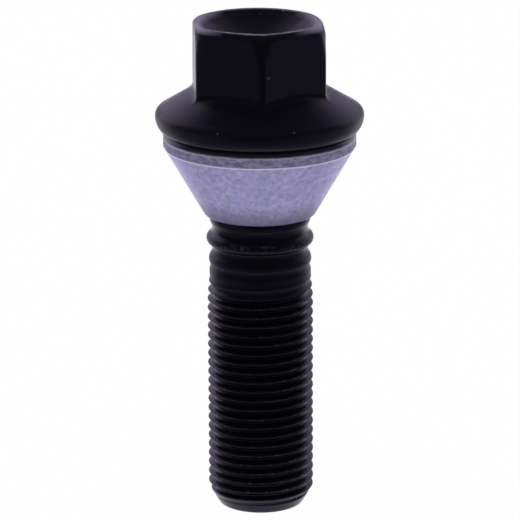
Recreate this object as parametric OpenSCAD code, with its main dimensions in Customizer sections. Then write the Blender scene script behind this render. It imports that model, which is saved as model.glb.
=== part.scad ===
// Wheel bolt with a captive conical collar, standing on its threaded tip.
// The axis is Z and the origin is the middle of the tip's flat end.
// The forged bolt is one piece: hexagon head, round flange, shank, rolled bead and thread.
// The collar is a second piece. It was slid over the shank before the bead was rolled,
// so the bead holds it under the flange while it stays free to turn.

/* [Hexagon head] */
// Width across the flats, a 17 mm spanner size less its clearance
hex_af = 16.6; // [15:0.05:19]
// How far the forging die blunts the sharp corners, on the radius
corner_blunt = 0.23; // [0.05:0.01:0.6]
// Height of the head's rim above the flange's bearing face
head_h = 14.2; // [12:0.1:22]
// Turn of the hexagon about the axis, in degrees
hex_turn = 3.5; // [0:0.5:30]
// Radius of the fillet where the flats run into the flange
foot_r = 1.2; // [0.6:0.1:1.6]
// Distance of the rim between dish and chamfer from the flats
rim_inset = 0.4; // [0.1:0.05:1.5]
// Radius of the rounded rim
rim_r = 0.35; // [0.1:0.05:0.5]
// Radius of the curve of the dished top
dish_r = 13; // [11:0.5:30]
// Slope of the chamfer round the top, in degrees below level
chamfer_slope = 35; // [25:1:45]
// Radius of the edge between the chamfer and the corners
shoulder_r = 1.2; // [0.4:0.1:1.5]
// Length over which the corners draw in towards the chamfer
corner_fade = 4.3; // [2:0.1:6]
// How far the corners draw in over that length
corner_draft = 0.34; // [0.1:0.02:0.6]

/* [Flange] */
// How far the flange stands out past the collar
flange_overhang = 1; // [0.6:0.05:2.5]
// Width of the bearing face past the collar
bearing_margin = 0.25; // [0:0.01:0.4]
// Slope of the flange's upper side, in degrees below level
flange_slope = 31; // [24:0.2:36]
// Radius of the lower, larger rounding of the flange's edge
edge_low_r = 2.75; // [1:0.05:3]
// Radius of the upper, smaller rounding of the flange's edge
edge_up_r = 1.05; // [0.5:0.05:1.8]
// Radius of the fillet between the bearing face and the shank
neck_r = 0.8; // [0.3:0.1:1.2]

/* [Shank] */
// Length from the bearing face to the tip
shank_l = 50.8; // [46:0.05:90]
// Height of the rolled bead above the blank, which holds the collar
bead_rise = 0.455; // [0.35:0.005:0.7]
// Distance from the collar's small end to the middle of the bead
bead_gap = 3.2; // [1.5:0.1:6]
// Depth of the two grooves beside the bead
groove_depth = 0.3; // [0.1:0.01:0.5]
// Distance from the middle of the bead to the middle of a groove
groove_step = 1.38; // [1:0.02:2]
// Height of the small lips beyond the grooves
lip_rise = 0.075; // [0.02:0.005:0.12]
// Distance from the middle of a groove to the top of its lip
lip_step = 1.42; // [1:0.02:2]
// Length over which a lip dies out into the blank
lip_run = 1.6; // [0.8:0.1:2.5]

/* [Thread] */
// Outer diameter of the M14 x 1.25 thread, drawn here as a plain cylinder
thread_d = 13.8; // [11.8:0.05:16]
// Height of the thread's crests above the blank that it is rolled from
crest_rise = 0.375; // [0.3:0.005:0.5]
// Length of plain blank between the thread and the lower lip
plain_l = 0.4; // [0.1:0.1:8]
// Length over which the thread runs out into the blank
runout_l = 1.3; // [0.8:0.1:2.5]
// How far the chamfer at the tip draws in, on the radius
tip_inset = 1.45; // [0.8:0.05:2.5]
// Length of the chamfer at the tip
tip_chamfer_l = 2.5; // [1:0.1:3.5]
// Radius of the edge round the tip's flat end
tip_edge_r = 0.6; // [0.2:0.1:1.2]

/* [Collar] */
// Outer diameter of the collar's band
collar_d = 25; // [22:0.1:28]
// Wall between the cone and the bore at the small end
small_end_wall = 0.37; // [0.3:0.01:1.5]
// Height of the straight band round its top
band_h = 1.93; // [1:0.01:3]
// Angle between the cone's side and the axis, in degrees
cone_half_angle = 30; // [25:0.5:38]
// Radius of the edge at the small end
small_end_r = 0.6; // [0.2:0.05:1]
// Radius of the edge between the cone and the band
band_edge_r = 0.2; // [0.1:0.05:0.4]
// Radius of the band's upper edge, under the flange
band_top_r = 0.7; // [0.1:0.05:0.9]
// How much wider the chamfer at the top of the bore is than the fillet under the flange
chamfer_margin = 0.3; // [0.2:0.05:1]
// Radial clearance between the blank and the bore
bore_clearance = 0.25; // [0.15:0.05:0.3]
// Gap left between the bearing face and the collar
collar_play = 0.1; // [0.05:0.05:0.2]

/* [Hidden] */
$fn = 96;
// Straight pieces that draw each rounded corner of an outline
arc_steps = 8;
// Thickness by which joined solids run into each other
overlap = 1;

thread_r = thread_d / 2;
blank_r = thread_r - crest_rise;
bore_r = blank_r + bore_clearance;
collar_r = collar_d / 2;
bearing_r = collar_r + bearing_margin;
flange_r = collar_r + flange_overhang;
hex_r = hex_af / 2;
corner_r = hex_r / cos(30) - corner_blunt;

bearing_z = shank_l;
top_z = bearing_z + head_h;
collar_top_z = bearing_z - collar_play;
band_low_z = collar_top_z - band_h;
// The cone runs from the band down to a thin wall round the bore
small_end_x = bore_r + small_end_wall;
collar_low_z = band_low_z - (collar_r - small_end_x) / tan(cone_half_angle);
bead_z = collar_low_z - bead_gap;
thread_top_z = bead_z - groove_step - lip_step - lip_run - plain_l;

// The lower rounding starts at the bearing face, so its slope there follows from its radius
edge_low_turn = acos(1 - (flange_r - bearing_r) / edge_low_r);
edge_low_z = bearing_z + (flange_r - bearing_r) / tan(edge_low_turn);
widest_z = bearing_z + edge_low_r * sin(edge_low_turn);
edge_up_z = widest_z + edge_up_r * tan((90 - flange_slope) / 2);
// Height of the flange's sloping side at a given radius
function slope_z(r) = edge_up_z + (flange_r - r) * tan(flange_slope);

function unit(v) = v / norm(v);
function turn_of(a, b) = acos(max(-1, min(1, unit(a) * unit(b))));

// Outline with rounded corners: each point is [radius from the axis, height, corner radius]
function corner_points(p, q, s) =
    let(
        a = [q[0] - p[0], q[1] - p[1]],
        b = [s[0] - q[0], s[1] - q[1]],
        turn = turn_of(a, b),
        side = sign(a[0] * b[1] - a[1] * b[0]),
        start = [q[0], q[1]] - unit(a) * q[2] * tan(turn / 2),
        inward = side * [-unit(a)[1], unit(a)[0]],
        centre = start + inward * q[2]
    )
    q[2] == 0 ? [[q[0], q[1]]] :
    [for (i = [0:arc_steps])
        let(t = side * turn * i / arc_steps)
        centre - q[2] * [
            inward[0] * cos(t) - inward[1] * sin(t),
            inward[0] * sin(t) + inward[1] * cos(t)
        ]];
function rounded(points) =
    let(n = len(points))
    [for (i = [0:n - 1])
        each corner_points(points[(i + n - 1) % n], points[i], points[(i + 1) % n])];

// Rolled outline: from one crest or trough [height, radius] to the next by two equal arcs
function wave_step(from, to) =
    let(
        rise = abs(to[1] - from[1]),
        run = abs(to[0] - from[0]),
        arc_r = (run * run + rise * rise) / (4 * rise),
        turn = asin(run / (2 * arc_r)),
        up = sign(to[0] - from[0]),
        out = sign(to[1] - from[1])
    )
    concat(
        [for (i = [0:arc_steps])
            let(t = turn * i / arc_steps)
            [from[1] + out * arc_r * (1 - cos(t)), from[0] + up * arc_r * sin(t)]],
        [for (i = [arc_steps - 1:-1:1])
            let(t = turn * i / arc_steps)
            [to[1] - out * arc_r * (1 - cos(t)), to[0] - up * arc_r * sin(t)]]
    );

// Half of the rolled outline, from the bead down: [distance from the bead's middle, radius]
rolled_half = [
    [groove_step, blank_r - groove_depth],
    [groove_step + lip_step, blank_r + lip_rise],
    [groove_step + lip_step + lip_run, blank_r],
];
rolled = concat(
    [for (i = [2:-1:0]) [bead_z - rolled_half[i][0], rolled_half[i][1]]],
    [[bead_z, blank_r + bead_rise]],
    [for (i = [0:2]) [bead_z + rolled_half[i][0], rolled_half[i][1]]]
);
rolled_points = [for (i = [0:len(rolled) - 2]) each wave_step(rolled[i], rolled[i + 1])];

// Outline of the head as if turned: dish, rim, chamfer and the corners that draw in
rim_x = hex_r - rim_inset;
rim_centre = [rim_x, top_z - rim_r];
dish_centre_z = rim_centre[1] + sqrt(pow(dish_r + rim_r, 2) - rim_x * rim_x);
dish_turn = asin(rim_x / (dish_r + rim_r));
shoulder_x = corner_r - corner_draft;
shoulder_z = top_z - rim_r * (1 - cos(chamfer_slope))
    - (shoulder_x - rim_x - rim_r * sin(chamfer_slope)) * tan(chamfer_slope);
fade_z = shoulder_z - corner_fade;
// The corners draw in along one long arc, upright at its foot
fade_r = (corner_fade * corner_fade + corner_draft * corner_draft) / (2 * corner_draft);
fade_turn = asin(corner_fade / fade_r);
fade_points = [for (i = [0:arc_steps - 1])
    let(t = fade_turn * i / arc_steps)
    [corner_r - fade_r * (1 - cos(t)), fade_z + fade_r * sin(t)]];
shoulder_points = corner_points(
    concat(fade_points[arc_steps - 1], 0),
    [shoulder_x, shoulder_z, shoulder_r],
    [rim_x, shoulder_z + (shoulder_x - rim_x) * tan(chamfer_slope), 0]
);
rim_points = [for (i = [0:arc_steps])
    let(t = 90 - chamfer_slope + (chamfer_slope + dish_turn) * i / arc_steps)
    rim_centre + rim_r * [cos(t), sin(t)]];
dish_points = [for (i = [arc_steps * 2:-1:0])
    let(t = dish_turn * i / (arc_steps * 2))
    [dish_r * sin(t), dish_centre_z - dish_r * cos(t)]];
head_low_z = slope_z(corner_r) - overlap;
foot_points = corner_points(
    [flange_r, slope_z(flange_r), 0],
    [corner_r, slope_z(corner_r), foot_r],
    [corner_r, fade_z, 0]
);
foot_out_x = foot_points[0][0];
head_outline = concat(
    [[0, head_low_z], [foot_out_x, head_low_z]],
    foot_points,
    fade_points,
    shoulder_points,
    rim_points,
    dish_points
);

// Two opposite flats, upright, that lean out over the flange at their foot
flat_foot_z = slope_z(hex_r) + foot_r / 4;
flat_lean = 30;
flat_arc = [for (i = [arc_steps:-1:0])
    let(t = flat_lean * i / arc_steps)
    [hex_r + foot_r * (1 - cos(t)), flat_foot_z - foot_r * sin(t)]];
flat_out_x = flat_arc[0][0] + (flat_arc[0][1] - head_low_z) * tan(flat_lean);
flat_side = concat([[flat_out_x, head_low_z]], flat_arc, [[hex_r, top_z + overlap]]);
flats_outline = concat(
    flat_side,
    [for (i = [len(flat_side) - 1:-1:0]) [-flat_side[i][0], flat_side[i][1]]]
);

module flats() {
    rotate([90, 0, 0])
        linear_extrude(2 * flange_r, center = true)
            polygon(flats_outline);
}

module hex_head() {
    rotate([0, 0, hex_turn])
        intersection() {
            rotate_extrude()
                polygon(head_outline);
            flats();
            rotate([0, 0, 60])
                flats();
            rotate([0, 0, 120])
                flats();
        }
}

// Shank and flange, turned in one outline from the tip to the inside of the head
shank_outline = concat(
    [[0, 0]],
    corner_points([0, 0, 0], [thread_r - tip_inset, 0, tip_edge_r], [thread_r, tip_chamfer_l, 0]),
    [
        [thread_r, tip_chamfer_l],
        [thread_r, thread_top_z - runout_l],
        [blank_r, thread_top_z],
    ],
    rolled_points,
    [[blank_r, rolled[6][0]]],
    corner_points([blank_r, bead_z, 0], [blank_r, bearing_z, neck_r], [bearing_r, bearing_z, 0]),
    [[bearing_r, bearing_z]],
    corner_points([bearing_r, bearing_z, 0], [flange_r, edge_low_z, edge_low_r], [flange_r, widest_z, 0]),
    corner_points([flange_r, widest_z, 0], [flange_r, edge_up_z, edge_up_r], [0, slope_z(0), 0]),
    [
        [hex_r - overlap, slope_z(hex_r - overlap)],
        [0, slope_z(hex_r - overlap)],
    ]
);

module bolt() {
    color("#17151a") {
        rotate_extrude()
            polygon(shank_outline);
        hex_head();
    }
}

bore_chamfer = neck_r + chamfer_margin;
// The small end's rounding takes no more than most of the wall there
small_edge_r = min(small_end_r, 0.95 * small_end_wall / tan((90 - cone_half_angle) / 2));
collar_outline = rounded([
    [bore_r, collar_low_z, 0],
    [small_end_x, collar_low_z, small_edge_r],
    [collar_r, band_low_z, band_edge_r],
    [collar_r, collar_top_z, band_top_r],
    [bore_r + bore_chamfer, collar_top_z, 0],
    [bore_r, collar_top_z - bore_chamfer, 0],
]);

module collar() {
    color("#8f87a6")
        rotate_extrude()
            polygon(collar_outline);
}

bolt();
collar();
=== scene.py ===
# %% [markdown]
# # A wheel bolt with a captive collar
#
# The real thing is two pieces. The bolt is forged from one length of wire: the head is pressed,
# the bead and the thread are rolled, and the whole is blackened. The collar is a turned steel
# cone that was slid on before the rolling and can't come off again.
#
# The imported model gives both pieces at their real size, as plain solids. A thread and softly
# forged edges need more points than a solid should carry, so each piece is drawn again here as
# one skin, inside the box of its solid.

import math

import bmesh
import bpy
import numpy as np
from mathutils import Matrix, Vector


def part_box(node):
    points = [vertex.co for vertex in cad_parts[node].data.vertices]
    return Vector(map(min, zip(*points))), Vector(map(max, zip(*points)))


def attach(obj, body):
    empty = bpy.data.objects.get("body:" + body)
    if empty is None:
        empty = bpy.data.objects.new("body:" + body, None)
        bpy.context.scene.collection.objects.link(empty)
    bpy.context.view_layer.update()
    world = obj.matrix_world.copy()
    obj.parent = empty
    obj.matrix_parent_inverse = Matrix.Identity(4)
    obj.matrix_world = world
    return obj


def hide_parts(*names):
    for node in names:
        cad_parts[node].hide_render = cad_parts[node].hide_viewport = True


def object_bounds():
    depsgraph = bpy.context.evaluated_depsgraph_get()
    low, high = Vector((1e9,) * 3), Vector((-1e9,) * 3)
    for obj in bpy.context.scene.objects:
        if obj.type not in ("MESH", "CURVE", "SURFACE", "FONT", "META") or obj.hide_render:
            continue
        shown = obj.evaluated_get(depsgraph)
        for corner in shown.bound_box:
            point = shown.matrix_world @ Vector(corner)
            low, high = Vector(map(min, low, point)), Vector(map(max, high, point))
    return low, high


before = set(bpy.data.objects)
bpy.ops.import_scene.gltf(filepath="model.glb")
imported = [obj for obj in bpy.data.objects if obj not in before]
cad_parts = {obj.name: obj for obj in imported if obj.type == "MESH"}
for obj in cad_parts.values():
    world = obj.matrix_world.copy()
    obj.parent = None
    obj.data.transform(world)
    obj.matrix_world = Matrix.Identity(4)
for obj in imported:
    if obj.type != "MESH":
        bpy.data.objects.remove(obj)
cad_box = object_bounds()

# %% [markdown]
# ## Millimetres, colours and nodes
#
# A maker thinks in millimetres, and the frame is in metres, so one factor turns the first into
# the second. Colours are written as sRGB hex values, as a colour picker shows them, and Blender
# wants them linear, so one function turns them. Another adds a shader node with its settings and
# its links, which keeps each material's recipe readable.

# %% Small helpers
MM = 0.001


def linear(hex_colour):
    """An sRGB hex colour as linear red, green, blue and alpha."""
    channels = [int(hex_colour[i:i + 2], 16) / 255 for i in (1, 3, 5)]
    flat = [c / 12.92 if c <= 0.04045 else ((c + 0.055) / 1.055) ** 2.4 for c in channels]
    return (*flat, 1.0)


def add_node(tree, kind, settings=None, **links):
    """Adds a node. settings set its properties or sockets, links join sockets to other outputs.

    A socket goes by its name or, where names repeat, by its number: "7" in settings, _7 in links.
    """
    node = tree.nodes.new(kind)
    for name, value in (settings or {}).items():
        if hasattr(node, name):
            setattr(node, name, value)
        else:
            node.inputs[int(name) if name.isdigit() else name].default_value = value
    for name, output in links.items():
        key = int(name[1:]) if name[1:].isdigit() else name.replace("_", " ")
        tree.links.new(output, node.inputs[key])
    return node


print("white is", linear("#ffffff"), "and mid grey is", linear("#808080")[:3])

# %% [markdown]
# ## The camera
#
# The bolt was photographed from about half a metre with a long lens, a little from above. The
# distance and the height of view were worked out from the photo: the thread looks slightly
# narrower at its tip than at its top, and the rings look as flat as they do at about 16 degrees.
# The picture is also turned by a quarter of a degree.

# %% Place the camera
CAMERA_DISTANCE = 480 * MM
CAMERA_ELEVATION = math.radians(15.85)
CAMERA_ROLL = math.radians(-0.232)
LOOK_AT = Vector((-0.02 * MM, 0, 33.1 * MM))
PIXELS_PER_MM = 7.665
PICTURE_WIDTH = 520
SENSOR_WIDTH = 36.0
NEAREST_SEEN = 10 * MM

camera_data = bpy.data.cameras.new("camera")
camera_data.sensor_width = SENSOR_WIDTH
camera_data.lens = SENSOR_WIDTH * PIXELS_PER_MM * CAMERA_DISTANCE / MM / PICTURE_WIDTH
camera_data.clip_start = NEAREST_SEEN
camera = bpy.data.objects.new("camera", camera_data)
scene = bpy.context.scene
scene.collection.objects.link(camera)
back = Vector((0, -math.cos(CAMERA_ELEVATION), math.sin(CAMERA_ELEVATION)))
turn = back.to_track_quat("Z", "Y").to_matrix().to_4x4()
camera.matrix_world = (
    Matrix.Translation(LOOK_AT + back * CAMERA_DISTANCE) @ turn @ Matrix.Rotation(CAMERA_ROLL, 4, "Z")
)
scene.camera = camera
print("lens", round(camera_data.lens, 1), "mm")

# %% [markdown]
# ## The room
#
# Gloss black shows nothing but what stands around it, so what a shiny surface meets matters more
# here than the lamps. The photo's long pale edges come from a white wall behind the bolt, which
# comes further round its sides the higher it is, and its dark front comes from an unlit room on
# the camera's side. Walls could be built, but a world that depends on the direction alone does
# the same with no mesh, and it stays put when the view changes.
#
# Only shiny surfaces meet that room. Dull ones get an even pale light from all round, and what
# the camera itself sees past the bolt is white.

# %% Paint the room for shiny surfaces
ROOM_DARK, WALL_PALE = "#4a4654", "#e9d8ff"
# A direction is wall by how far it points back, and to the side, which counts more with height
BACK_SHARE, FRONT_SHARE = 0.9, 0.5
SIDE_SHARE, SIDE_RISE = 0.4, 0.9
WALL_START, WALL_FULL = 0.85, 1.13
# The room is a little darker on the right
ROOM_SHIFT = 0.03

studio = bpy.data.worlds.new("studio")
scene.world = studio
studio.use_nodes = True
room_nodes = studio.node_tree
room_nodes.nodes.clear()
direction = add_node(room_nodes, "ShaderNodeTexCoord").outputs["Generated"]
room_axes = add_node(room_nodes, "ShaderNodeSeparateXYZ", _0=direction)
shifted = add_node(
    room_nodes, "ShaderNodeMath", {"operation": "SUBTRACT", "1": ROOM_SHIFT}, _0=room_axes.outputs["X"],
)
sideways = add_node(room_nodes, "ShaderNodeMath", {"operation": "ABSOLUTE"}, _0=shifted.outputs[0])
side_weight = add_node(
    room_nodes, "ShaderNodeMath", {"operation": "MULTIPLY_ADD", "1": SIDE_RISE, "2": SIDE_SHARE},
    _0=room_axes.outputs["Z"],
)
to_back, to_front = [
    add_node(room_nodes, "ShaderNodeMath", {"operation": "MULTIPLY", "1": share}, _0=room_axes.outputs["Y"])
    for share in (BACK_SHARE, FRONT_SHARE)
]
rearward = add_node(
    room_nodes, "ShaderNodeMath", {"operation": "MAXIMUM"},
    _0=to_back.outputs[0], _1=to_front.outputs[0],
)
turned_away = add_node(
    room_nodes, "ShaderNodeMath", {"operation": "MULTIPLY_ADD"},
    _0=sideways.outputs[0], _1=side_weight.outputs[0], _2=rearward.outputs[0],
)
walls = add_node(
    room_nodes, "ShaderNodeMapRange",
    {"interpolation_type": "SMOOTHSTEP", "From Min": WALL_START, "From Max": WALL_FULL},
    Value=turned_away.outputs[0],
)
room_tone = add_node(
    room_nodes, "ShaderNodeMix",
    {"data_type": "RGBA", "6": linear(ROOM_DARK), "7": linear(WALL_PALE)},
    _0=walls.outputs[0],
)
print("wall from", WALL_START, "to", WALL_FULL)

# %% Light dull surfaces evenly, and leave the background white
EVEN_PALE, WHITE = "#f4f0fc", "#ffffff"
PLAIN = 1.0

mirrored = add_node(room_nodes, "ShaderNodeBackground", {"Strength": PLAIN}, Color=room_tone.outputs[2])
even_light, backdrop = [
    add_node(room_nodes, "ShaderNodeBackground", {"Color": linear(colour), "Strength": PLAIN})
    for colour in (EVEN_PALE, WHITE)
]
room_rays = add_node(room_nodes, "ShaderNodeLightPath")
lit = add_node(
    room_nodes, "ShaderNodeMixShader",
    _0=room_rays.outputs["Is Glossy Ray"], _1=even_light.outputs[0], _2=mirrored.outputs[0],
)
seen = add_node(
    room_nodes, "ShaderNodeMixShader",
    _0=room_rays.outputs["Is Camera Ray"], _1=lit.outputs[0], _2=backdrop.outputs[0],
)
add_node(room_nodes, "ShaderNodeOutputWorld", Surface=seen.outputs[0])
scene.view_settings.view_transform = "Standard"
print("world", studio.name, "with", len(room_nodes.nodes), "nodes")

# %% [markdown]
# ## The lamps
#
# Two square soft boxes stand behind the bolt, left and right. They are weak: they only lift the
# outline of the head and of the thread off the dark.

# %% Hang the lamps
LAMP_SIZE, LAMP_WATTS = 500, 0.35
LAMP_ASIDE, LAMP_BACK, LAMP_HEIGHT = 600, 500, 160
LAMP_AIM = Vector((0, 0, 35)) * MM

for name, side in (("lamp_left", -1), ("lamp_right", 1)):
    soft_box = bpy.data.lights.new(name, "AREA")
    soft_box.size = LAMP_SIZE * MM
    soft_box.energy = LAMP_WATTS
    lamp = bpy.data.objects.new(name, soft_box)
    scene.collection.objects.link(lamp)
    lamp_place = Vector((side * LAMP_ASIDE, LAMP_BACK, LAMP_HEIGHT)) * MM
    lamp.location = lamp_place
    lamp.rotation_euler = (LAMP_AIM - lamp_place).to_track_quat("-Z", "Y").to_euler()

# %% [markdown]
# ## The table
#
# The table is a sheet of white paper, 3 metres wide, so that its edge never shows. The photo's
# ground is blank white, so the camera sees the sheet as white, with only a trace of shadow, and
# dull light bounces off it as off any paper.
#
# What shines sees more of it: a glow painted on the sheet, which only gloss meets. The underside of
# the flange and of the cone is pale because that glow is bright round the bolt's foot, and the lower
# edge of the tip is dark in front because the glow darkens towards the camera. Both are painted
# reflections, tones of the sheet that only gloss meets.

# %% Lay the table
TABLE_SIZE = 3000
# The bolt stands a hair above the sheet, so that its flat end and the sheet are never one plane
TABLE_GAP = 0.02

half = TABLE_SIZE / 2 * MM
sheet_corners = [
    (x, y, -TABLE_GAP * MM) for x, y in ((-half, -half), (half, -half), (half, half), (-half, half))
]
table_mesh = bpy.data.meshes.new("table")
table_mesh.from_pydata(sheet_corners, [], [(0, 1, 2, 3)])
table = bpy.data.objects.new("table", table_mesh)
scene.collection.objects.link(table)
print("table", TABLE_SIZE, "mm wide")

# %% Find one's place on the sheet
paper = bpy.data.materials.new("white_paper_sheet")
paper.use_nodes = True
paper_nodes = paper.node_tree
paper_nodes.nodes.clear()
on_sheet = add_node(paper_nodes, "ShaderNodeTexCoord").outputs["Object"]
sheet_axes = add_node(paper_nodes, "ShaderNodeSeparateXYZ", _0=on_sheet)
sheet_aside = add_node(
    paper_nodes, "ShaderNodeMath", {"operation": "ABSOLUTE"}, _0=sheet_axes.outputs["X"],
)
# Bands of tone run across the sheet, and slant away from its middle by these slopes
SIDE_SLANT, BACK_SLANT = 0.6, -0.5
side_line, back_line = [
    add_node(
        paper_nodes, "ShaderNodeMath", {"operation": "MULTIPLY_ADD", "1": slant},
        _0=sheet_aside.outputs[0], _2=sheet_axes.outputs["Y"],
    )
    for slant in (SIDE_SLANT, BACK_SLANT)
]
# The glow's bright patch, a painted reflection, is an oval round a place behind the bolt
PATCH_BACK, PATCH_SQUEEZE = 18, 1.35
squeezed = add_node(
    paper_nodes, "ShaderNodeVectorMath", {"operation": "MULTIPLY", "1": (PATCH_SQUEEZE, 1, 1)},
    _0=on_sheet,
)
off_patch = add_node(
    paper_nodes, "ShaderNodeVectorMath", {"operation": "DISTANCE", "1": (0, PATCH_BACK * MM, 0)},
    _0=squeezed.outputs[0],
)
print("bright patch", PATCH_BACK, "mm behind the bolt")

# %% Colour the sheet, and paint the glow that gloss meets
# The front, side, back and patch tones are a glow that only gloss meets: painted reflections, dark in front,
# pale at the back and round the bolt's foot
SHEET_FRONT, SHEET_SIDE, SHEET_BACK, GLOW_PATCH_PALE = "#2c2931", "#7d7789", "#f8f4ff", "#f8f4ff"
PAPER_WHITE = "#f4f0fa"
SHADOW_TRACE = 0.01
# What each step of tone measures, and where it starts and is full, in millimetres
SHEET_STEPS = [
    (side_line.outputs[0], -110, -30), (back_line.outputs[0], -40, 70), (off_patch.outputs["Value"], 31, 47),
]
to_side, to_pale, to_outside = [
    add_node(
        paper_nodes, "ShaderNodeMapRange",
        {"interpolation_type": "SMOOTHSTEP", "From Min": start * MM, "From Max": full * MM},
        Value=measure,
    )
    for measure, start, full in SHEET_STEPS
]
front_and_side = add_node(
    paper_nodes, "ShaderNodeMix",
    {"data_type": "RGBA", "6": linear(SHEET_FRONT), "7": linear(SHEET_SIDE)}, _0=to_side.outputs[0],
)
with_back = add_node(
    paper_nodes, "ShaderNodeMix", {"data_type": "RGBA", "7": linear(SHEET_BACK)},
    _0=to_pale.outputs[0], _6=front_and_side.outputs[2],
)
with_patch = add_node(
    paper_nodes, "ShaderNodeMix", {"data_type": "RGBA", "6": linear(GLOW_PATCH_PALE)},
    _0=to_outside.outputs[0], _7=with_back.outputs[2],
)
paper_rays = add_node(paper_nodes, "ShaderNodeLightPath")
shown = add_node(
    paper_nodes, "ShaderNodeMix", {"data_type": "RGBA", "7": linear(WHITE)},
    _0=paper_rays.outputs["Is Camera Ray"], _6=with_patch.outputs[2],
)
shine = add_node(paper_nodes, "ShaderNodeEmission", {"Strength": PLAIN}, Color=shown.outputs[2])
matt = add_node(paper_nodes, "ShaderNodeBsdfDiffuse", {"Color": linear(PAPER_WHITE)})
straight = add_node(
    paper_nodes, "ShaderNodeMath", {"operation": "MAXIMUM"},
    _0=paper_rays.outputs["Is Camera Ray"], _1=paper_rays.outputs["Is Glossy Ray"],
)
shine_share = add_node(
    paper_nodes, "ShaderNodeMath", {"operation": "MULTIPLY", "1": 1 - SHADOW_TRACE},
    _0=straight.outputs[0],
)
paper_surface = add_node(
    paper_nodes, "ShaderNodeMixShader",
    _0=shine_share.outputs[0], _1=matt.outputs[0], _2=shine.outputs[0],
)
add_node(paper_nodes, "ShaderNodeOutputMaterial", Surface=paper_surface.outputs[0])
table_mesh.materials.append(paper)
print("material", paper.name)

# %% [markdown]
# ## A skin made of rings
#
# Both pieces are round about one axis, so both are drawn as rings of points, one above the other,
# each joined to the next. A ring's points need not lie at one radius or one height: the hexagon's
# rings go in and out, and the thread's rings climb by one pitch in a turn. Where points fall on
# each other, as at the start and end of the thread, they are merged.

# %% Join rings into a skin
MERGE_GAP = 0.0015


def skin_of_rings(name, angles, rings):
    """A closed mesh from rings of (radius, height) in mm. angles has both 0 and a full turn."""
    cos, sin = np.cos(angles), np.sin(angles)
    rows = []
    for radius, height in rings:
        radius = np.broadcast_to(radius, angles.shape)
        height = np.broadcast_to(height, angles.shape)
        rows.append(np.stack([radius * cos, radius * sin, height], axis=1))
    points = np.concatenate(rows) * MM
    count = len(angles)
    low = np.arange(len(rings) - 1)[:, None] * count + np.arange(count - 1)
    faces = np.stack([low, low + 1, low + count + 1, low + count], axis=2).reshape(-1, 4)
    mesh = bpy.data.meshes.new(name)
    mesh.from_pydata(points.tolist(), [], faces.tolist())
    shape = bmesh.new()
    shape.from_mesh(mesh)
    bmesh.ops.remove_doubles(shape, verts=shape.verts, dist=MERGE_GAP * MM)
    bmesh.ops.recalc_face_normals(shape, faces=shape.faces)
    shape.to_mesh(mesh)
    shape.free()
    mesh.shade_smooth()
    piece = bpy.data.objects.new(name, mesh)
    scene.collection.objects.link(piece)
    triangles = sum(len(p.vertices) - 2 for p in mesh.polygons)
    print(name, len(mesh.vertices), "points", triangles, "triangles")
    return piece


def arc(centre, radius, start, end, steps):
    """Points (radius from the axis, height) along an arc, with its angles in degrees."""
    turns = np.radians(np.linspace(start, end, steps + 1))
    return [(centre[0] + radius * math.cos(t), centre[1] + radius * math.sin(t)) for t in turns]


def soft_min(a, b, blend):
    """The lower of two shapes, with the edge between them rounded over the blend length."""
    near = np.maximum(blend - np.abs(a - b), 0) / blend
    return np.minimum(a, b) - near * near * blend / 4


def soft_max(a, b, blend):
    """The higher of two shapes, with a fillet where they meet."""
    return -soft_min(-a, -b, blend)


print("a corner of 1 and 1 rounds to", soft_min(1, 1, 0.4))

# %% [markdown]
# ## The thread
#
# A rolled M14 x 1.25 thread has flanks at 60 degrees to each other, a narrow worn crest and a
# rounded root. It could be cut out of a cylinder, but a cut leaves uneven edges. Here the skin's
# rings follow the helix instead: each ring climbs by one pitch per turn and keeps to one place of
# the thread's profile, so crests and roots come out clean with few points.
#
# At the tip the chamfer takes the crests away. At the top the thread fades out into the rolling
# blank, whose diameter is close to the thread's pitch diameter: crests drop and roots rise.

# %% Shape the thread
PITCH = 1.25
CREST_R, ROOT_DEPTH = 6.9, 0.76
# The blank is as thick as this above the bead, and where the thread begins
BLANK_R, LOW_BLANK_R = 6.525, 6.62
THREAD_LOW, FADE_START, THREAD_HIGH = 0.5, 28.0, 31.88
# The turn's start about the axis, set by where the photo's crests stand at the outline
THREAD_PHASE = -0.07
# The helix starts below the tip and ends above the top, and both ends are cut off level
FIRST_TURN, SPARE_TURNS = -2, 3
# One turn's profile: the share of a pitch from the crest, and the share of the full depth
PROFILE = [
    (-0.03, 0.01), (0.0, 0.0), (0.03, 0.01), (0.06, 0.05), (0.12, 0.2), (0.2, 0.43), (0.28, 0.67),
    (0.35, 0.87), (0.42, 0.97), (0.5, 1.0), (0.58, 0.97), (0.65, 0.87), (0.72, 0.67), (0.8, 0.43),
    (0.88, 0.2), (0.94, 0.05),
]

TIP_FLAT_R, TIP_EDGE = 5.09, 0.6
CHAMFER_LOW_R, CHAMFER_HIGH_R, CHAMFER_H, CHAMFER_BLEND = 5.45, 6.9, 2.5, 0.06
chamfer_slope = (CHAMFER_HIGH_R - CHAMFER_LOW_R) / CHAMFER_H


def thread_rings(angles):
    """Rings that climb one pitch in a turn, cut off level at both ends of the thread."""
    climb = PITCH * (angles / (2 * math.pi) + THREAD_PHASE)
    rings = []
    turns = int((THREAD_HIGH - THREAD_LOW) / PITCH) + SPARE_TURNS
    for turn_number in range(FIRST_TURN, turns):
        for at, depth_share in PROFILE:
            free = (turn_number + at) * PITCH + climb
            height = np.clip(free, THREAD_LOW, THREAD_HIGH)
            fade = np.clip((THREAD_HIGH - height) / (THREAD_HIGH - FADE_START), 0, 1)
            fade = fade * fade * (3 - 2 * fade)
            cut = np.where(free == height, depth_share * ROOT_DEPTH, 0.0)
            radius = LOW_BLANK_R + (CREST_R - cut - LOW_BLANK_R) * fade
            chamfer = CHAMFER_LOW_R + chamfer_slope * height
            rings.append((soft_min(radius, chamfer, CHAMFER_BLEND), height))
    return rings


print("turns of thread", round((THREAD_HIGH - THREAD_LOW) / PITCH, 1))

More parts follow.
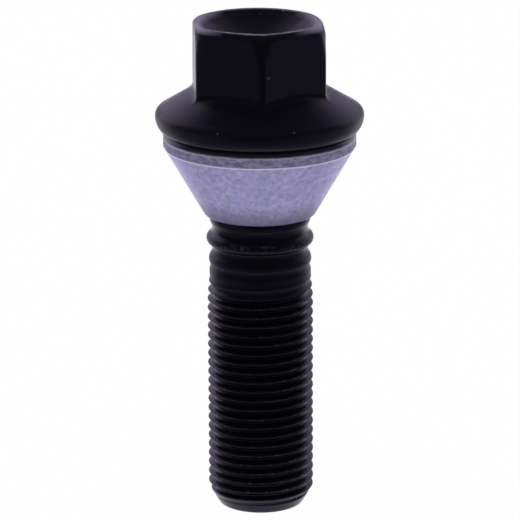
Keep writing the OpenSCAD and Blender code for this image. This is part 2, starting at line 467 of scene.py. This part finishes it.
# %% [markdown]
# ## The shank and the flange
#
# The bead, its two grooves and their lips come from one rolling die, so they flow into each other
# as equal arcs. Below the lower lip the blank has a slight waist before the thread begins. All
# this could be a smooth curve through a few points, but such a curve swells between them, and
# arcs don't.
#
# The flange is plain and round: a flat face below, a large soft rounding, a small one above it
# and a straight slope up to the hexagon.

# %% Shape the shank
BEARING_Z = 50.8
BEAD_Z = BEARING_Z - 14.5
BEAD_R, GROOVE_R, LIP_R, LOW_LIP_R, WAIST_R = 6.98, 6.225, 6.6, 6.68, 6.48
# How far each lies from the bead
GROOVE_AT, LIP_AT, WAIST_AT, LIP_END = 1.38, 2.8, 3.65, 4.4
NECK = 0.8


def rolled_wave(stations, steps):
    """Two equal arcs from each crest or trough (height, radius) to the next."""
    points = []
    for (z0, r0), (z1, r1) in zip(stations, stations[1:]):
        run, rise = z1 - z0, r1 - r0
        big = (run * run + rise * rise) / (4 * abs(rise))
        half_turn = math.asin(run / (2 * big))
        for i in range(2 * steps):
            t = half_turn * (1 - abs(1 - i / steps))
            out = math.copysign(big * (1 - math.cos(t)), rise)
            up = big * math.sin(t)
            points.append((r0 + out, z0 + up) if i <= steps else (r1 - out, z1 - up))
    return points + [(stations[-1][1], stations[-1][0])]


stations = [
    (BEAD_Z - LIP_END, LOW_BLANK_R), (BEAD_Z - WAIST_AT, WAIST_R), (BEAD_Z - LIP_AT, LOW_LIP_R),
    (BEAD_Z - GROOVE_AT, GROOVE_R), (BEAD_Z, BEAD_R), (BEAD_Z + GROOVE_AT, GROOVE_R),
    (BEAD_Z + LIP_AT, LIP_R), (BEAD_Z + LIP_END, BLANK_R),
]
shank = rolled_wave(stations, steps=6)
shank += arc((BLANK_R + NECK, BEARING_Z - NECK), NECK, 180, 90, steps=6)
print("bead at", round(BEAD_Z, 2), "mm, shank drawn with", len(shank), "rings")

# %% Shape the flange
FLANGE_R, BEARING_R = 13.5, 12.75
EDGE_LOW, EDGE_UP = 2.75, 1.05
SLOPE = math.radians(31)

low_turn = math.acos(1 - (FLANGE_R - BEARING_R) / EDGE_LOW)
widest_z = BEARING_Z + EDGE_LOW * math.sin(low_turn)
flange = arc((FLANGE_R - EDGE_LOW, widest_z), EDGE_LOW, -math.degrees(low_turn), 0, steps=10)
flange += arc((FLANGE_R - EDGE_UP, widest_z), EDGE_UP, 0, 90 - math.degrees(SLOPE), steps=8)[1:]
slope_r, slope_z = flange[-1]
print("flange widest at", round(widest_z, 2), "mm, slope starts at", round(slope_z, 2), "mm")

# %% [markdown]
# ## The hexagon and its dish
#
# The head is pressed into a hexagonal die, so its edges are soft, its corners are blunt and a
# large fillet leads into the flange. It could be cut from a block, but each fillet would then be
# a job of its own. Seen from above, a hexagon is the lowest of six straight sides and, at the
# blunt corners, a circle. Taking the lowest of shapes, with a little rounding between them, gives
# the side's outline at each height: flats, corners, and near the top the cone of the chamfer. The
# highest of that and the flange's slope gives the fillet at the foot.
#
# No pressed head sits quite true. This one lies a hair to the left, and its rim a little more,
# and the rim is round at the back and follows the hexagon somewhat in front.
#
# The columns of points stand closer together at the corners, so that the flats stay flat.

# %% Set out the hexagon's columns
HEX_R, CORNER_R = 8.34, 9.54
HEX_TURN = math.radians(3.5)
SIXTH = math.radians(60)
FLAT_COLUMNS, CORNER_COLUMNS = 19, 7
CORNER_MARGIN = 0.015

half_corner = math.acos(HEX_R / CORNER_R)
sector = np.concatenate([
    np.linspace(-half_corner + CORNER_MARGIN, half_corner - CORNER_MARGIN, FLAT_COLUMNS),
    np.linspace(half_corner, SIXTH - half_corner, CORNER_COLUMNS),
])
angles = np.concatenate([sector + SIXTH * k for k in range(6)]) + HEX_TURN
angles = np.sort(np.mod(angles, 2 * math.pi))
angles = np.concatenate([[0.0], angles, [2 * math.pi]])
side_angle = np.mod(angles - HEX_TURN + SIXTH / 2, SIXTH) - SIXTH / 2
print("columns", len(angles))

# %% Shape the hexagon
TOP_Z = cad_box[1][2] / MM
RIM_R, RIM_EDGE = 7.9, 0.35
HEAD_SHIFT, RIM_SHIFT, RIM_HEX_SHARE = -0.08, -0.3, 0.4
CHAMFER_SLOPE = math.radians(35)
# The corners draw in along an arc, from this far below the shoulder to a little above it
CORNER_DRAFT, CORNER_FADE, MOST_FADE = 0.4, 4.3, 1.4
FOOT_BLEND, SHOULDER_BLEND, CORNER_BLEND = 0.8, 0.55, 0.1

head_shift = HEAD_SHIFT * np.cos(angles)
flat_r = (HEX_R + HEAD_SHIFT * np.cos(angles - side_angle)) / np.cos(side_angle)
rim_hex = RIM_HEX_SHARE * (1 - np.sin(angles)) / 2
rim_r = RIM_R * (1 + rim_hex * (1 / np.cos(side_angle) - 1)) + RIM_SHIFT * np.cos(angles)
shoulder_z = TOP_Z - (CORNER_R - CORNER_DRAFT - RIM_R) * math.tan(CHAMFER_SLOPE)
chamfer_top = TOP_Z - RIM_EDGE * (1 - math.cos(CHAMFER_SLOPE))


def head_radius(height):
    """The head's outline at one height, from the flange's slope up to the chamfer."""
    rise = min(max((height - shoulder_z + CORNER_FADE) / CORNER_FADE, 0), MOST_FADE)
    corner = CORNER_R + head_shift - CORNER_DRAFT * rise * rise
    sides = soft_min(flat_r, corner, CORNER_BLEND)
    chamfer = rim_r + RIM_EDGE * math.sin(CHAMFER_SLOPE)
    chamfer = chamfer + (chamfer_top - height) / math.tan(CHAMFER_SLOPE)
    sides = soft_min(sides, chamfer, SHOULDER_BLEND)
    slope = slope_r - (height - slope_z) / math.tan(SLOPE)
    return soft_max(sides, slope, FOOT_BLEND)


# Rows stand close at the foot's fillet and at the shoulder, and far apart on the plain flats
ROW_GAP = 0.02
HEAD_ROWS = [(slope_z, 55.0, 5), (55.0, 57.6, 22), (57.6, 61.8, 9), (61.8, chamfer_top - ROW_GAP, 34)]
heights = np.concatenate([np.linspace(start, end, rows)[1:] for start, end, rows in HEAD_ROWS])
head = [(head_radius(height), height) for height in heights]
print("head drawn with", len(head), "rings, shoulder at", round(shoulder_z, 2), "mm")

# %% Round the rim and sink the dish
DISH_R = 13.0
RIM_ROWS, DISH_ROWS = 9, 22

rim_centre_z = TOP_Z - RIM_EDGE
dish_turn = math.asin(RIM_R / (DISH_R + RIM_EDGE))
rim = [
    (rim_r + RIM_EDGE * math.cos(t), rim_centre_z + RIM_EDGE * math.sin(t))
    for t in np.linspace(math.pi / 2 - CHAMFER_SLOPE, math.pi / 2 + dish_turn, RIM_ROWS)
]
dish_centre_z = rim_centre_z + math.sqrt((DISH_R + RIM_EDGE) ** 2 - RIM_R ** 2)
dish = []
for t in np.linspace(dish_turn, 0, DISH_ROWS)[1:]:
    # The rim's uneven outline fades out towards the middle of the dish
    uneven_rim = 1 + (rim_r / RIM_R - 1) * (t / dish_turn)
    dish.append((DISH_R * math.sin(t) * uneven_rim, dish_centre_z - DISH_R * math.cos(t)))
print("dish bottom at", round(dish_centre_z - DISH_R, 2), "mm")

# %% [markdown]
# ## Put the bolt's skin together
#
# From the middle of the tip, over the thread, the bead, the flange and the hexagon, to the middle
# of the dish. It is one skin because the real bolt is one forging.

# %% Make the bolt
TIP_RINGS = (0.0, 1.5, 3.2, 4.5)

tip_turn = math.degrees(math.atan2(1, chamfer_slope))
tip = [(radius, 0.0) for radius in TIP_RINGS]
tip += arc((TIP_FLAT_R, TIP_EDGE), TIP_EDGE, -90, -90 + tip_turn, steps=6)
tip = [(radius, height) for radius, height in tip if height < THREAD_LOW - ROW_GAP]
bolt_rings = tip + thread_rings(angles) + shank + flange + head + rim + dish
bolt = skin_of_rings("wheel_bolt", angles, bolt_rings)

# %% [markdown]
# ## The collar
#
# The collar is turned from bar on a lathe. Its outline is short: bore, small end, cone, band, top.
# A cone and a cylinder could be joined, but the lathe rounds every edge a little, and an outline
# spun about the axis gives those roundings too. The ring is closed through its bore.

# %% Make the collar
low, high = (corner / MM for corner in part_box("collar"))
COLLAR_R = high.x
BAND_Z = high.z - 1.93
BORE_R, BORE_CHAMFER = 6.775, 1.1
HALF_ANGLE = math.radians(30)
SMALL_EDGE, BAND_EDGE, TOP_EDGE = 0.6, 0.2, 0.7
# Rows of points: shares of the cone, heights above the band's lower edge, a radius on the top
CONE_ROWS, BAND_ROWS, TOP_ROW = (0.15, 0.3, 0.45, 0.6, 0.75, 0.9), (0.4, 0.8), 10.5
COLLAR_COLUMNS = 192

cone_h = BAND_Z - low.z
cone_run = cone_h * math.tan(HALF_ANGLE)
small_end_r = COLLAR_R - cone_run
small_reach = SMALL_EDGE * math.tan((math.pi / 2 - HALF_ANGLE) / 2)
band_reach = BAND_EDGE * math.tan(HALF_ANGLE / 2)
outline = [(BORE_R, low.z)]
outline += arc((small_end_r - small_reach, low.z + SMALL_EDGE), SMALL_EDGE, -90, -30, steps=8)
outline += [(small_end_r + cone_run * share, low.z + cone_h * share) for share in CONE_ROWS]
outline += arc((COLLAR_R - BAND_EDGE, BAND_Z + band_reach), BAND_EDGE, -30, 0, steps=4)
outline += [(COLLAR_R, BAND_Z + row) for row in BAND_ROWS]
outline += arc((COLLAR_R - TOP_EDGE, high.z - TOP_EDGE), TOP_EDGE, 0, 90, steps=10)
outline += [(TOP_ROW, high.z), (BORE_R + BORE_CHAMFER, high.z)]
outline += [(BORE_R, high.z - BORE_CHAMFER), (BORE_R, low.z)]
round_angles = np.linspace(0, 2 * math.pi, COLLAR_COLUMNS + 1)
collar = skin_of_rings("conical_collar", round_angles, outline)

# %% [markdown]
# ## The black coating
#
# The bolt is steel with a thin baked black coating, zinc flake under a black sealer. To the eye
# it is a smooth dark film with next to no colour of its own, and with a soft, faintly violet
# gloss that grows towards the edges. A sharp gloss would look like wet paint and none like soot,
# so it has a weak reflection, with a trace of sheen for the dusty look of the flakes.

# %% Start the black coating
COAT_SOCKETS = {
    "IOR": 1.5,
    "Specular IOR Level": 0.32,
    "Specular Tint": linear("#e2e0ff"),
    "Sheen Weight": 0.02,
    "Sheen Roughness": 0.35,
    "Sheen Tint": linear("#dccdff"),
}

black = bpy.data.materials.new("black_baked_coating")
black.use_nodes = True
coat_nodes = black.node_tree
coat = coat_nodes.nodes["Principled BSDF"]
for socket, value in COAT_SOCKETS.items():
    coat.inputs[socket].default_value = value
bolt.data.materials.append(black)
print("material", black.name)

# %% [markdown]
# ## Places on the bolt
#
# The coating isn't the same all over: it is duller in hollows and worn on edges, and the rim's
# sides carry a painted highlight. Such places could be painted by hand, but the bolt is round, so a
# height, a distance from the axis or a distance to the side says where they are. Each zone is a soft
# step between two such measures.

# %% Measure places on the bolt
BLANK_MIDDLE = BEAD_Z - 4.0

on_bolt = add_node(coat_nodes, "ShaderNodeTexCoord").outputs["Object"]
bolt_axes = add_node(coat_nodes, "ShaderNodeSeparateXYZ", _0=on_bolt)
levelled = add_node(
    coat_nodes, "ShaderNodeVectorMath", {"operation": "MULTIPLY", "1": (1, 1, 0)}, _0=on_bolt,
)
from_axis = add_node(
    coat_nodes, "ShaderNodeVectorMath", {"operation": "LENGTH"}, _0=levelled.outputs[0],
)
past_blank = add_node(
    coat_nodes, "ShaderNodeMath", {"operation": "SUBTRACT", "1": BLANK_MIDDLE * MM},
    _0=bolt_axes.outputs["Z"],
)
off_blank, off_side = [
    add_node(coat_nodes, "ShaderNodeMath", {"operation": "ABSOLUTE"}, _0=measure)
    for measure in (past_blank.outputs[0], bolt_axes.outputs["X"])
]
bolt_measures = {
    "height": bolt_axes.outputs["Z"],
    "radius": from_axis.outputs["Value"],
    "off_blank": off_blank.outputs[0],
    "off_side": off_side.outputs[0],
}
print("measures", list(bolt_measures))

# %% Mark out the zones of the coating
# Each zone: its measure, where it starts and is full in millimetres, and its strength at both ends
COAT_ZONES = {
    "shank": ("height", BEARING_Z, BEARING_Z - 2, 0.0, 1.0),
    "dish": ("radius", RIM_R - 0.1, RIM_R - 0.5, 0.0, 0.14),
    "flange_edge": ("radius", FLANGE_R - 0.9, FLANGE_R - 0.2, 0.0, 0.14),
    "head_top": ("height", TOP_Z - 1.6, TOP_Z - 0.6, 0.0, 0.16),
    "blank": ("off_blank", 3.1, 2.2, 0.0, 0.2),
    "crest": ("radius", CREST_R - 0.25, CREST_R - 0.08, 0.0, 0.16),
    # The rim's grey line is part wear, part painted highlight, and the grey at the rim's left and right is
    # painted highlight
    "rim": ("height", TOP_Z - 0.16, TOP_Z - 0.04, 0.0, 0.8),
    "left_and_right": ("off_side", 4.5, 8.0, 0.0, 0.6),
    "near_rim": ("height", TOP_Z - 0.7, TOP_Z - 0.1, 0.0, 1.0),
    "crest_line": ("radius", CREST_R - 0.12, CREST_R - 0.04, 0.0, 0.2),
    "first_turns": ("height", 9, 3, 0.3, 1.0),
}
coat_zone = {}
for name, (measure, start, full, least, most) in COAT_ZONES.items():
    span = {"From Min": start * MM, "From Max": full * MM, "To Min": least, "To Max": most}
    step = add_node(coat_nodes, "ShaderNodeMapRange", span, Value=bolt_measures[measure])
    coat_zone[name] = step.outputs[0]
print("zones", list(coat_zone))

# %% [markdown]
# ## Where the coating is dull
#
# The bolt was dipped and spun, so the gloss comes in soft clouds. The dish, the top of the head
# and the flange's edge are duller, and so is the blank round the bead's lower groove, where
# the rolling left the steel rough. The thread's crests are rolled over, so each shows one soft
# line of light and not a bright one.

# %% Make the coating dull in places
# The clouds are 1.5 mm across, about what a spun coating has
CLOUD_SIZE = 1.5
GLOSS_CLEAR, GLOSS_CLOUDY = 0.17, 0.33
SHANK_SMOOTHER = -0.03
# Above this height, what lies inside the rim is the dish
UNDER_DISH_Z = 61

cloud = add_node(
    coat_nodes, "ShaderNodeTexNoise", {"Scale": 1 / (CLOUD_SIZE * MM), "Detail": 4.0}, Vector=on_bolt,
).outputs["Fac"]
gloss = add_node(
    coat_nodes, "ShaderNodeMapRange", {"To Min": GLOSS_CLEAR, "To Max": GLOSS_CLOUDY}, Value=cloud,
)
on_head = add_node(
    coat_nodes, "ShaderNodeMath", {"operation": "GREATER_THAN", "1": UNDER_DISH_Z * MM},
    _0=bolt_axes.outputs["Z"],
)
dish_and_flange = add_node(
    coat_nodes, "ShaderNodeMath", {"operation": "MULTIPLY_ADD"},
    _0=coat_zone["dish"], _1=on_head.outputs[0], _2=coat_zone["flange_edge"],
)
head_dull = add_node(
    coat_nodes, "ShaderNodeMath", {"operation": "MAXIMUM"},
    _0=dish_and_flange.outputs[0], _1=coat_zone["head_top"],
)
head_rough = add_node(
    coat_nodes, "ShaderNodeMath", {"operation": "ADD"}, _0=head_dull.outputs[0], _1=gloss.outputs[0],
)
shank_rough = add_node(
    coat_nodes, "ShaderNodeMath", {"operation": "MULTIPLY_ADD", "1": SHANK_SMOOTHER},
    _0=coat_zone["shank"], _2=head_rough.outputs[0],
)
blank_rough = add_node(
    coat_nodes, "ShaderNodeMath", {"operation": "ADD"},
    _0=coat_zone["blank"], _1=shank_rough.outputs[0],
)
roughness = add_node(
    coat_nodes, "ShaderNodeMath", {"operation": "MULTIPLY_ADD"},
    _0=coat_zone["crest"], _1=coat_zone["shank"], _2=blank_rough.outputs[0],
)
coat_nodes.links.new(roughness.outputs[0], coat.inputs["Roughness"])
print("roughness from", GLOSS_CLEAR, "to", GLOSS_CLOUDY, "before the zones")

# %% [markdown]
# ## Where the coating is rubbed, and where highlights are painted
#
# A spanner rubs the rim, and the thin grey line along its top is partly that wear and partly a
# painted highlight. At the rim's left and right, more grey is a painted highlight. The thread's
# crests are scuffed in patches, most of all on the first turns, which meet every hub. Rubbed places
# are not bare: the film is thinner there and looks grey.

# %% Rub the rim, paint highlights at its sides, and scuff the crests
# Scuffs on the crests are drawn about half a millimetre long, coarser than the real scratches
SCUFF_SIZE = 0.45
SCUFF_START, SCUFF_FULL = 0.52, 0.68

scratches = add_node(
    coat_nodes, "ShaderNodeTexNoise", {"Scale": 1 / (SCUFF_SIZE * MM), "Detail": 3.0}, Vector=on_bolt,
)
scuffed_patch = add_node(
    coat_nodes, "ShaderNodeMapRange", {"From Min": SCUFF_START, "From Max": SCUFF_FULL},
    Value=scratches.outputs["Fac"],
)
# Each rub and the painted highlight at the rim's sides show where all shares of their row come together
RUBS_AND_HIGHLIGHTS = [
    [coat_zone["rim"], cloud],
    [coat_zone["left_and_right"], coat_zone["near_rim"]],
    [coat_zone["crest_line"], coat_zone["shank"], scuffed_patch.outputs[0], coat_zone["first_turns"]],
]
marks = []
for together, *others in RUBS_AND_HIGHLIGHTS:
    for share in others:
        together = add_node(
            coat_nodes, "ShaderNodeMath", {"operation": "MULTIPLY"}, _0=together, _1=share,
        ).outputs[0]
    marks.append(together)
print("rubs", len(marks))

# %% [markdown]
# ## Specks and marks
#
# Dust got into the sealer, so a few specks catch the light: a cell pattern with one place in each
# cell, of which a fifth get a speck. A few marks lie where the photo has them: two specks on the
# flange, a scuff by the hexagon's front corner and a chip at the back of the rim.

# %% Strew specks and set the marks
SPECK_SPACING, SPECK_R, SPECK_SHARE, SPECK_PALE = 3.0, 0.11, 0.2, 0.5
# Inside this share of its radius, a speck or a mark is at its full strength
CORE = 0.4
# Each mark: its place and radius in millimetres, and its strength
MARKS = [
    ((-5.3, -12.33, 53.1), 0.12, 0.2),
    ((4.34, -12.6, 53.26), 0.12, 0.22),
    ((1.2, -9.25, 59.5), 0.3, 0.08),
    ((3.2, 6.9, 64.8), 0.3, 0.38),
    ((3.65, 6.72, 64.82), 0.24, 0.32),
]

cells = add_node(
    coat_nodes, "ShaderNodeTexVoronoi", {"Scale": 1 / (SPECK_SPACING * MM)}, Vector=on_bolt,
)
chance = add_node(coat_nodes, "ShaderNodeSeparateColor", _0=cells.outputs["Color"])
chosen = add_node(
    coat_nodes, "ShaderNodeMath", {"operation": "LESS_THAN", "1": SPECK_SHARE}, _0=chance.outputs[0],
)
near_speck = add_node(
    coat_nodes, "ShaderNodeMapRange",
    {
        "From Min": SPECK_R / SPECK_SPACING,
        "From Max": CORE * SPECK_R / SPECK_SPACING,
        "To Max": SPECK_PALE,
    },
    Value=cells.outputs["Distance"],
)
speck = add_node(
    coat_nodes, "ShaderNodeMath", {"operation": "MULTIPLY"},
    _0=near_speck.outputs[0], _1=chosen.outputs[0],
)
marks.append(speck.outputs[0])
for mark_place, mark_r, strength in MARKS:
    off_mark = add_node(
        coat_nodes, "ShaderNodeVectorMath",
        {"operation": "DISTANCE", "1": [v * MM for v in mark_place]}, _0=on_bolt,
    )
    mark = add_node(
        coat_nodes, "ShaderNodeMapRange",
        {"From Min": mark_r * MM, "From Max": CORE * mark_r * MM, "To Max": strength},
        Value=off_mark.outputs["Value"],
    )
    marks.append(mark.outputs[0])
print("rubs, specks and marks", len(marks))

# %% Colour the coating
# The shank's deeper black is painted shade, for the shade under the collar and in the thread's hollows
HEAD_BLACK, SHANK_SHADE_BLACK, WORN_AND_HIGHLIGHT_GREY = "#060509", "#030304", "#a39db4"

black_tone = add_node(
    coat_nodes, "ShaderNodeMix",
    {"data_type": "RGBA", "6": linear(HEAD_BLACK), "7": linear(SHANK_SHADE_BLACK)}, _0=coat_zone["shank"],
)
# Rubs, scuffs, specks and marks, and the painted highlights at the rim, all turn the black towards one grey
worn_and_highlit = marks[0]
for mark in marks[1:]:
    worn_and_highlit = add_node(coat_nodes, "ShaderNodeMath", {"operation": "MAXIMUM"}, _0=worn_and_highlit, _1=mark).outputs[0]
coat_tone = add_node(
    coat_nodes, "ShaderNodeMix", {"data_type": "RGBA", "7": linear(WORN_AND_HIGHLIGHT_GREY)},
    _0=worn_and_highlit, _6=black_tone.outputs[2],
)
coat_nodes.links.new(coat_tone.outputs[2], coat.inputs["Base Color"])
print("black", HEAD_BLACK, "on the head and", SHANK_SHADE_BLACK, "on the shank")

# %% Give the coating its grain
# The flakes are finer than 0.1 mm. Their grain is drawn at 0.25 mm, as coarse as it needs to show
GRAIN_SIZE, GRAIN_HEIGHT, GRAIN_STRENGTH = 0.25, 0.01, 0.25

grain = add_node(
    coat_nodes, "ShaderNodeTexNoise", {"Scale": 1 / (GRAIN_SIZE * MM), "Detail": 2.0}, Vector=on_bolt,
)
grain_relief = add_node(
    coat_nodes, "ShaderNodeBump", {"Strength": GRAIN_STRENGTH, "Distance": GRAIN_HEIGHT * MM},
    Height=grain.outputs["Fac"],
)
coat_nodes.links.new(grain_relief.outputs[0], coat.inputs["Normal"])
print("grain", GRAIN_SIZE, "mm")

# %% [markdown]
# ## The plain steel of the collar
#
# The collar is turned steel with a thin pale phosphate skin. To the eye it is a dull light metal
# with a violet cast, mottled where the skin is thicker. Turning leaves fine rings, which stretch
# every highlight up and down, and a fully metallic surface would be too bright and too sharp for
# the dull skin, so it is about half metal.

# %% Start the plain steel
steel = bpy.data.materials.new("plain_turned_steel")
steel.use_nodes = True
steel_nodes = steel.node_tree
metal = steel_nodes.nodes["Principled BSDF"]
metal.inputs["Anisotropic"].default_value = 0.6
metal.inputs["Anisotropic Rotation"].default_value = 0.25
around = add_node(steel_nodes, "ShaderNodeTangent", {"direction_type": "RADIAL", "axis": "Z"})
steel_nodes.links.new(around.outputs[0], metal.inputs["Tangent"])
collar.data.materials.append(steel)
print("material", steel.name)

# %% Mottle the steel
# Crystals of the skin gather in patches of 0.7 mm, and in wider violet blooms of 3 mm
PATCH_SIZE, BLOOM_SIZE = 0.7, 3.0
STEEL_TONES = [(0.3, "#989ab8"), (0.45, "#abaccd"), (0.55, "#bab8d6"), (0.72, "#cfcfe6")]
BLOOM_VIOLET = "#b9b2ec"

on_collar = add_node(steel_nodes, "ShaderNodeTexCoord").outputs["Object"]
patches = add_node(
    steel_nodes, "ShaderNodeTexNoise",
    {"Scale": 1 / (PATCH_SIZE * MM), "Detail": 4.0, "Roughness": 0.7}, Vector=on_collar,
)
mottled = add_node(steel_nodes, "ShaderNodeValToRGB", _0=patches.outputs["Fac"])
stops = mottled.color_ramp.elements
for stop, (position, tone) in zip(stops, (STEEL_TONES[0], STEEL_TONES[-1])):
    stop.position = position
    stop.color = linear(tone)
for position, tone in STEEL_TONES[1:-1]:
    stops.new(position).color = linear(tone)
blooms = add_node(
    steel_nodes, "ShaderNodeTexNoise", {"Scale": 1 / (BLOOM_SIZE * MM), "Detail": 1.0}, Vector=on_collar,
)
bloom = add_node(
    steel_nodes, "ShaderNodeMapRange", {"From Min": 0.5, "From Max": 0.7, "To Max": 0.25},
    Value=blooms.outputs["Fac"],
)
cone_tone = add_node(
    steel_nodes, "ShaderNodeMix", {"data_type": "RGBA", "7": linear(BLOOM_VIOLET)},
    _0=bloom.outputs[0], _6=mottled.outputs["Color"],
)
print("tones", [(round(stop.position, 2)) for stop in stops])

# %% [markdown]
# ## The band of the collar
#
# The band above the cone is darker than the cone, and blotchy where it has rubbed against packing
# and other bolts. Under the flange it has a ragged dark zone, which is painted shade, below that a
# faint light line, which is a painted highlight, and at its lower edge a thin bright line, also a
# painted highlight. The cone's small end is darker too.

# %% Mark out the zones of the steel
# Scuffs on the band are about 1.1 mm long and wider than they are high
SCUFF_LENGTH, SCUFF_FLATNESS, RAGGED_BY = 1.1, 2.5, 0.25
# The painted highlight line lies this far below the band's edge, and the painted highlight under the top
# this far below the top's edge
EDGE_DROP, TOP_HIGHLIGHT_DROP = 0.34, 0.25
top_edge_z = high.z - TOP_EDGE

flattened = add_node(
    steel_nodes, "ShaderNodeVectorMath", {"operation": "MULTIPLY", "1": (1, 1, SCUFF_FLATNESS)},
    _0=on_collar,
)
scuffs = add_node(
    steel_nodes, "ShaderNodeTexNoise",
    {"Scale": 1 / (SCUFF_LENGTH * MM), "Detail": 6.0, "Roughness": 0.75}, Vector=flattened.outputs[0],
)
uneven = add_node(
    steel_nodes, "ShaderNodeMapRange", {"To Min": -RAGGED_BY * MM, "To Max": RAGGED_BY * MM},
    Value=scuffs.outputs["Fac"],
)
collar_height = add_node(steel_nodes, "ShaderNodeSeparateXYZ", _0=on_collar).outputs["Z"]
ragged = add_node(
    steel_nodes, "ShaderNodeMath", {"operation": "ADD"}, _0=collar_height, _1=uneven.outputs[0],
)
collar_measures = {"height": collar_height, "ragged": ragged.outputs[0]}
for name, measure, line_z in (
    ("off_edge", "height", BAND_Z - EDGE_DROP), ("off_top_highlight", "ragged", top_edge_z - TOP_HIGHLIGHT_DROP),
):
    past_line = add_node(
        steel_nodes, "ShaderNodeMath", {"operation": "SUBTRACT", "1": line_z * MM},
        _0=collar_measures[measure],
    )
    off_line = add_node(steel_nodes, "ShaderNodeMath", {"operation": "ABSOLUTE"}, _0=past_line.outputs[0])
    collar_measures[name] = off_line.outputs[0]

# Each zone: its measure, where it starts and is full in millimetres, and its full strength
STEEL_ZONES = {
    # The pale line below the top's edge and the pale line at the band's lower edge are painted highlights,
    # and the dark zone under the flange is painted shade
    "band": ("height", BAND_Z - 0.3, BAND_Z - 0.2, 1.0),
    "top_highlight": ("off_top_highlight", 0.18, 0.05, 0.25),
    "under_flange": ("ragged", top_edge_z - 0.22, top_edge_z + 0.05, 1.0),
    "small_end": ("height", low.z + 3.2, low.z + 0.2, 0.75),
    "edge_highlight": ("off_edge", 0.18, 0.04, 0.65),
}
steel_zone = {}
for name, (measure, start, full, most) in STEEL_ZONES.items():
    span = {"From Min": start * MM, "From Max": full * MM, "To Max": most}
    step = add_node(steel_nodes, "ShaderNodeMapRange", span, Value=collar_measures[measure])
    steel_zone[name] = step.outputs[0]
print("zones", list(steel_zone))

# %% Colour the steel
BAND_DARK, BAND_LIGHT = "#716d84", "#9995ad"
# The two pale tones are painted highlights, the dark tone under the flange is painted shade, and the small
# end is only darker
ZONE_TONES = {
    "top_highlight": "#e6e2f2", "under_flange": "#4f4c58", "small_end": "#4f4c58", "edge_highlight": "#fbf7ff",
}

scuffed_band = add_node(
    steel_nodes, "ShaderNodeMapRange", {"From Min": 0.42, "From Max": 0.6}, Value=scuffs.outputs["Fac"],
)
band_tone = add_node(
    steel_nodes, "ShaderNodeMix",
    {"data_type": "RGBA", "6": linear(BAND_DARK), "7": linear(BAND_LIGHT)}, _0=scuffed_band.outputs[0],
)
steel_tone = add_node(
    steel_nodes, "ShaderNodeMix", {"data_type": "RGBA"},
    _0=steel_zone["band"], _6=cone_tone.outputs[2], _7=band_tone.outputs[2],
)
for name, tone in ZONE_TONES.items():
    steel_tone = add_node(
        steel_nodes, "ShaderNodeMix", {"data_type": "RGBA", "7": linear(tone)},
        _0=steel_zone[name], _6=steel_tone.outputs[2],
    )
steel_nodes.links.new(steel_tone.outputs[2], metal.inputs["Base Color"])
print("tones of the zones", ZONE_TONES)

# %% Finish the steel
# For each socket: its value on the cone, and what the band and the zone under the flange add
STEEL_FINISH = {"Roughness": (0.42, 0.18, -0.3), "Metallic": (0.47, -0.1, 0.6)}
# A turning tool moves on by about 0.2 mm a turn. Its rings are drawn 0.59 mm apart, to show
FEED = 0.592
# Blender's wave texture has one band in this share of its unit
WAVE_BAND = 2 * math.pi / 20
FEED_HEIGHT, FEED_STRENGTH, FEED_WANDER = 0.01, 0.3, 1.5

for socket, (on_cone, band_adds, flange_adds) in STEEL_FINISH.items():
    cone_and_band = add_node(
        steel_nodes, "ShaderNodeMath", {"operation": "MULTIPLY_ADD", "1": band_adds, "2": on_cone},
        _0=steel_zone["band"],
    )
    finish = add_node(
        steel_nodes, "ShaderNodeMath", {"operation": "MULTIPLY_ADD", "1": flange_adds},
        _0=steel_zone["under_flange"], _2=cone_and_band.outputs[0],
    )
    steel_nodes.links.new(finish.outputs[0], metal.inputs[socket])
feed_rings = add_node(
    steel_nodes, "ShaderNodeTexWave",
    {"bands_direction": "Z", "Scale": WAVE_BAND / (FEED * MM), "Distortion": FEED_WANDER},
    Vector=on_collar,
)
feed_relief = add_node(
    steel_nodes, "ShaderNodeBump", {"Strength": FEED_STRENGTH, "Distance": FEED_HEIGHT * MM},
    Height=feed_rings.outputs["Fac"],
)
steel_nodes.links.new(feed_relief.outputs[0], metal.inputs["Normal"])
print("turning rings", FEED, "mm apart")

# %% [markdown]
# ## Hand the pieces over
#
# Each piece rides on the body that it belongs to and takes the place of its solid.

# %% Finish
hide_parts("bolt")
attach(bolt, "bolt")
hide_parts("collar")
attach(collar, "collar")
